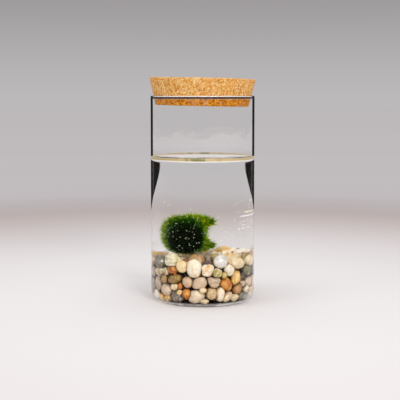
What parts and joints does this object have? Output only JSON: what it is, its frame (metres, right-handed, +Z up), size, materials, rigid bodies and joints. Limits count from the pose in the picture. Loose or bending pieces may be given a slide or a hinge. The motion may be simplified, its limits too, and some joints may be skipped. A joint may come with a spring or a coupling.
{
  "type": "marimo moss ball in a corked jar",
  "caption": "Green moss ball resting on mixed river pebbles in a clear cylindrical jar of water, with a bead, a pearl and a sea shell, closed by a tapered cork.",
  "frame": {"origin": "centre of the jar's foot, on the surface that it stands on", "axes": "+Z up along the jar, -Y the front, where the moss ball stands left of the middle and the pearl right of it, +X to the right seen from the front"},
  "size_m": [0.0662, 0.0662, 0.1395],
  "materials": {
    "glass": "clear, polished borosilicate glass",
    "cork": "matt agglomerated cork with light granules and dark specks",
    "water": "clear water",
    "moss": "soft tangled green filaments",
    "pearl": "glossy pearl white",
    "grey_glass": "smoky olive-grey glass, glossy",
    "shell": "satin shell, cream with orange and plum spots",
    "quartz": "pale yellow translucent quartz, wet",
    "mixed_stone": "mixed wet gravel, cream to brown",
    "white_stone": "wet white quartz pebble",
    "cream_stone": "wet cream pebble with ochre stains",
    "yellow_stone": "wet honey-yellow pebble",
    "amber_stone": "wet amber-orange pebble",
    "rust_stone": "wet rust-red pebble",
    "tan_stone": "wet tan pebble",
    "brown_stone": "wet olive-brown pebble",
    "pink_stone": "wet pinkish-grey pebble",
    "grey_stone": "wet grey pebble",
    "dark_stone": "wet dark grey pebble",
    "plum_stone": "wet purple-brown pebble",
    "olive_stone": "wet olive pebble"
  },
  "bodies": {
    "root": {"glass_jar": "glass", "cork_stopper": "cork", "water": "water", "moss_ball": "moss", "pearl_bead": "pearl", "grey_bead": "grey_glass", "sea_shell": "shell", "gravel_fill": "mixed_stone", "white_oval_pebble": "white_stone", "honey_pebble": "yellow_stone", "rust_pebble": "rust_stone", "cream_chip_pebble": "cream_stone", "cream_left_pebble": "cream_stone", "brown_bean_pebble": "brown_stone", "tan_wedge_left_pebble": "tan_stone", "grey_sliver_pebble": "grey_stone", "slate_left_pebble": "grey_stone", "slate_top_left_pebble": "grey_stone", "pink_lump_pebble": "pink_stone", "cream_step_pebble": "cream_stone", "orange_drop_pebble": "amber_stone", "yellow_drop_pebble": "yellow_stone", "round_tan_pebble": "pink_stone", "orange_wedge_pebble": "amber_stone", "plum_left_pebble": "plum_stone", "cream_heel_pebble": "cream_stone", "peach_heel_pebble": "yellow_stone", "tan_heel_pebble": "tan_stone", "pale_dome_pebble": "white_stone", "pink_egg_pebble": "pink_stone", "cream_cube_pebble": "cream_stone", "pink_wedge_pebble": "pink_stone", "cream_knob_pebble": "cream_stone", "white_egg_pebble": "white_stone", "olive_chip_pebble": "olive_stone", "amber_bean_pebble": "amber_stone", "yellow_tooth_pebble": "yellow_stone", "tan_bean_pebble": "tan_stone", "beige_right_pebble": "cream_stone", "pink_chip_pebble": "pink_stone", "slate_right_pebble": "dark_stone", "plum_chip_pebble": "plum_stone", "peach_slab_pebble": "cream_stone", "white_flake_pebble": "white_stone", "slate_heel_pebble": "dark_stone", "cream_edge_pebble": "cream_stone", "cream_foot_pebble": "cream_stone", "grey_bean_pebble": "grey_stone", "half_moon_pebble": "white_stone", "beige_round_pebble": "tan_stone", "white_chip_pebble": "cream_stone", "flat_foot_pebble": "white_stone", "beige_edge_pebble": "pink_stone", "peach_right_pebble": "cream_stone", "quartz_nugget_pebble": "quartz", "tan_slab_pebble": "tan_stone", "grey_top_pebble": "grey_stone", "olive_top_pebble": "olive_stone", "cream_top_pebble": "cream_stone"}
  },
  "joints": []
}
